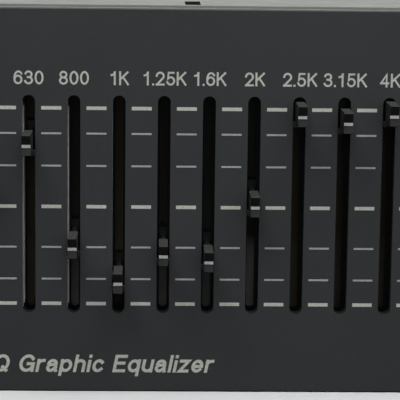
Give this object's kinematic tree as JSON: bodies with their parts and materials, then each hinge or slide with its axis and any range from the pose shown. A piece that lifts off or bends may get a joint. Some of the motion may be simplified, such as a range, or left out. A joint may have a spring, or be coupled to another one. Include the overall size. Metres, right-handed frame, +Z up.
{
  "type": "graphic equalizer",
  "caption": "Rack-mounted graphic equalizer: a flat two-unit front panel with vertical faders in slots, a level knob, push buttons, a rocker switch, and connectors on the back.",
  "frame": {"origin": "centre of the four rack slots, on the back face of the front panel", "axes": "+X along the front panel to the right seen from the front, +Y from the front panel to the back wall, +Z up"},
  "size_m": [0.4826, 0.2125, 0.0884],
  "materials": {
    "panel_paint": "satin, fine powder texture",
    "case_sheet": "satin",
    "frame_steel": "satin",
    "track_laminate": "matte",
    "board_laminate": "semi-gloss",
    "plated_steel": "zinc plated",
    "ribbon_grey": "matte",
    "chip_black": "matte",
    "film_red": "gloss",
    "can_aluminium": "printed sleeve, left blank",
    "sink_aluminium": "black anodised",
    "core_steel": "varnished laminations",
    "winding_tape": "yellow tape over copper wire",
    "fader_plastic": "moulded, satin",
    "knob_plastic": "moulded, satin",
    "switch_plastic": "moulded",
    "button_plastic": "moulded, satin",
    "lamp_red": "clear tinted",
    "rocker_plastic": "gloss",
    "connector_plate": "nickel plated",
    "jack_plastic": "moulded"
  },
  "bodies": {
    "chassis": {"front_panel": "panel_paint", "chassis_tray": "case_sheet", "rear_panel": "case_sheet", "top_cover": "case_sheet", "slider_frames": "frame_steel", "slider_tracks": "track_laminate", "slider_board": "board_laminate", "main_board": "board_laminate", "ribbon_cable": "ribbon_grey", "op_amp_chips": "chip_black", "film_capacitors": "film_red", "filter_capacitors": "can_aluminium", "regulator_heatsink": "sink_aluminium", "transformer_core": "core_steel", "transformer_winding": "winding_tape", "level_pot": "plated_steel", "push_switches": "switch_plastic", "indicator_leds": "lamp_red", "power_switch_frame": "switch_plastic", "xlr_input": "connector_plate", "xlr_output": "connector_plate", "phone_jacks": "jack_plastic", "power_inlet": "jack_plastic", "fasteners": "plated_steel"},
    "slider_20_hz": {"slider_20_hz": "fader_plastic"},
    "slider_25_hz": {"slider_25_hz": "fader_plastic"},
    "slider_31_hz": {"slider_31_hz": "fader_plastic"},
    "slider_40_hz": {"slider_40_hz": "fader_plastic"},
    "slider_50_hz": {"slider_50_hz": "fader_plastic"},
    "slider_63_hz": {"slider_63_hz": "fader_plastic"},
    "slider_80_hz": {"slider_80_hz": "fader_plastic"},
    "slider_100_hz": {"slider_100_hz": "fader_plastic"},
    "slider_125_hz": {"slider_125_hz": "fader_plastic"},
    "slider_160_hz": {"slider_160_hz": "fader_plastic"},
    "slider_200_hz": {"slider_200_hz": "fader_plastic"},
    "slider_250_hz": {"slider_250_hz": "fader_plastic"},
    "slider_315_hz": {"slider_315_hz": "fader_plastic"},
    "slider_400_hz": {"slider_400_hz": "fader_plastic"},
    "slider_500_hz": {"slider_500_hz": "fader_plastic"},
    "slider_630_hz": {"slider_630_hz": "fader_plastic"},
    "slider_800_hz": {"slider_800_hz": "fader_plastic"},
    "slider_1_khz": {"slider_1_khz": "fader_plastic"},
    "slider_1_25_khz": {"slider_1_25_khz": "fader_plastic"},
    "slider_1_6_khz": {"slider_1_6_khz": "fader_plastic"},
    "slider_2_khz": {"slider_2_khz": "fader_plastic"},
    "slider_2_5_khz": {"slider_2_5_khz": "fader_plastic"},
    "slider_3_15_khz": {"slider_3_15_khz": "fader_plastic"},
    "slider_4_khz": {"slider_4_khz": "fader_plastic"},
    "slider_5_khz": {"slider_5_khz": "fader_plastic"},
    "slider_6_3_khz": {"slider_6_3_khz": "fader_plastic"},
    "slider_8_khz": {"slider_8_khz": "fader_plastic"},
    "slider_10_khz": {"slider_10_khz": "fader_plastic"},
    "slider_12_5_khz": {"slider_12_5_khz": "fader_plastic"},
    "slider_16_khz": {"slider_16_khz": "fader_plastic"},
    "slider_20_khz": {"slider_20_khz": "fader_plastic"},
    "level_knob": {"level_knob": "knob_plastic"},
    "eq_in_button": {"eq_in_button": "button_plastic"},
    "low_cut_button": {"low_cut_button": "button_plastic"},
    "range_button": {"range_button": "button_plastic"},
    "power_rocker": {"power_rocker": "rocker_plastic"}
  },
  "joints": [
    {"name": "slide_20_hz", "type": "slide", "parent": "chassis", "child": "slider_20_hz", "axis": [0, 0, 1], "range_m": [-0.0315, 0.0135]},
    {"name": "slide_25_hz", "type": "slide", "parent": "chassis", "child": "slider_25_hz", "axis": [0, 0, 1], "range_m": [-0.035, 0.01]},
    {"name": "slide_31_hz", "type": "slide", "parent": "chassis", "child": "slider_31_hz", "axis": [0, 0, 1], "range_m": [-0.0365, 0.0085]},
    {"name": "slide_40_hz", "type": "slide", "parent": "chassis", "child": "slider_40_hz", "axis": [0, 0, 1], "range_m": [-0.034, 0.011]},
    {"name": "slide_50_hz", "type": "slide", "parent": "chassis", "child": "slider_50_hz", "axis": [0, 0, 1], "range_m": [-0.0305, 0.0145]},
    {"name": "slide_63_hz", "type": "slide", "parent": "chassis", "child": "slider_63_hz", "axis": [0, 0, 1], "range_m": [-0.028, 0.017]},
    {"name": "slide_80_hz", "type": "slide", "parent": "chassis", "child": "slider_80_hz", "axis": [0, 0, 1], "range_m": [-0.0255, 0.0195]},
    {"name": "slide_100_hz", "type": "slide", "parent": "chassis", "child": "slider_100_hz", "axis": [0, 0, 1], "range_m": [-0.024, 0.021]},
    {"name": "slide_125_hz", "type": "slide", "parent": "chassis", "child": "slider_125_hz", "axis": [0, 0, 1], "range_m": [-0.0205, 0.0245]},
    {"name": "slide_160_hz", "type": "slide", "parent": "chassis", "child": "slider_160_hz", "axis": [0, 0, 1], "range_m": [-0.018, 0.027]},
    {"name": "slide_200_hz", "type": "slide", "parent": "chassis", "child": "slider_200_hz", "axis": [0, 0, 1], "range_m": [-0.0165, 0.0285]},
    {"name": "slide_250_hz", "type": "slide", "parent": "chassis", "child": "slider_250_hz", "axis": [0, 0, 1], "range_m": [-0.019, 0.026]},
    {"name": "slide_315_hz", "type": "slide", "parent": "chassis", "child": "slider_315_hz", "axis": [0, 0, 1], "range_m": [-0.0245, 0.0205]},
    {"name": "slide_400_hz", "type": "slide", "parent": "chassis", "child": "slider_400_hz", "axis": [0, 0, 1], "range_m": [-0.029, 0.016]},
    {"name": "slide_500_hz", "type": "slide", "parent": "chassis", "child": "slider_500_hz", "axis": [0, 0, 1], "range_m": [-0.0335, 0.0115]},
    {"name": "slide_630_hz", "type": "slide", "parent": "chassis", "child": "slider_630_hz", "axis": [0, 0, 1], "range_m": [-0.0376, 0.0074]},
    {"name": "slide_800_hz", "type": "slide", "parent": "chassis", "child": "slider_800_hz", "axis": [0, 0, 1], "range_m": [-0.0146, 0.0304]},
    {"name": "slide_1_khz", "type": "slide", "parent": "chassis", "child": "slider_1_khz", "axis": [0, 0, 1], "range_m": [-0.0067, 0.0383]},
    {"name": "slide_1_25_khz", "type": "slide", "parent": "chassis", "child": "slider_1_25_khz", "axis": [0, 0, 1], "range_m": [-0.013, 0.032]},
    {"name": "slide_1_6_khz", "type": "slide", "parent": "chassis", "child": "slider_1_6_khz", "axis": [0, 0, 1], "range_m": [-0.0117, 0.0333]},
    {"name": "slide_2_khz", "type": "slide", "parent": "chassis", "child": "slider_2_khz", "axis": [0, 0, 1], "range_m": [-0.0242, 0.0208]},
    {"name": "slide_2_5_khz", "type": "slide", "parent": "chassis", "child": "slider_2_5_khz", "axis": [0, 0, 1], "range_m": [-0.0445, 0.0005]},
    {"name": "slide_3_15_khz", "type": "slide", "parent": "chassis", "child": "slider_3_15_khz", "axis": [0, 0, 1], "range_m": [-0.0431, 0.0019]},
    {"name": "slide_4_khz", "type": "slide", "parent": "chassis", "child": "slider_4_khz", "axis": [0, 0, 1], "range_m": [-0.0448, 0.0002]},
    {"name": "slide_5_khz", "type": "slide", "parent": "chassis", "child": "slider_5_khz", "axis": [0, 0, 1], "range_m": [-0.04, 0.005]},
    {"name": "slide_6_3_khz", "type": "slide", "parent": "chassis", "child": "slider_6_3_khz", "axis": [0, 0, 1], "range_m": [-0.0345, 0.0105]},
    {"name": "slide_8_khz", "type": "slide", "parent": "chassis", "child": "slider_8_khz", "axis": [0, 0, 1], "range_m": [-0.031, 0.014]},
    {"name": "slide_10_khz", "type": "slide", "parent": "chassis", "child": "slider_10_khz", "axis": [0, 0, 1], "range_m": [-0.0325, 0.0125]},
    {"name": "slide_12_5_khz", "type": "slide", "parent": "chassis", "child": "slider_12_5_khz", "axis": [0, 0, 1], "range_m": [-0.036, 0.009]},
    {"name": "slide_16_khz", "type": "slide", "parent": "chassis", "child": "slider_16_khz", "axis": [0, 0, 1], "range_m": [-0.0385, 0.0065]},
    {"name": "slide_20_khz", "type": "slide", "parent": "chassis", "child": "slider_20_khz", "axis": [0, 0, 1], "range_m": [-0.0345, 0.0105]},
    {"name": "turn_level_knob", "type": "hinge", "parent": "chassis", "child": "level_knob", "pos_m": [0.146, 0, 0.019], "axis": [0, 1, 0], "range_deg": [-150, 150]},
    {"name": "press_eq_in_button", "type": "slide", "parent": "chassis", "child": "eq_in_button", "axis": [0, 1, 0], "range_m": [0, 0.0025], "stiffness_N_per_m": 200, "springref_m": -0.002},
    {"name": "press_low_cut_button", "type": "slide", "parent": "chassis", "child": "low_cut_button", "axis": [0, 1, 0], "range_m": [0, 0.0025], "stiffness_N_per_m": 200, "springref_m": -0.002},
    {"name": "press_range_button", "type": "slide", "parent": "chassis", "child": "range_button", "axis": [0, 1, 0], "range_m": [0, 0.0025], "stiffness_N_per_m": 200, "springref_m": -0.002},
    {"name": "tilt_power_rocker", "type": "hinge", "parent": "chassis", "child": "power_rocker", "pos_m": [0.194, -0.0012, -0.005], "axis": [-1, 0, 0], "range_deg": [0, 18]}
  ]
}
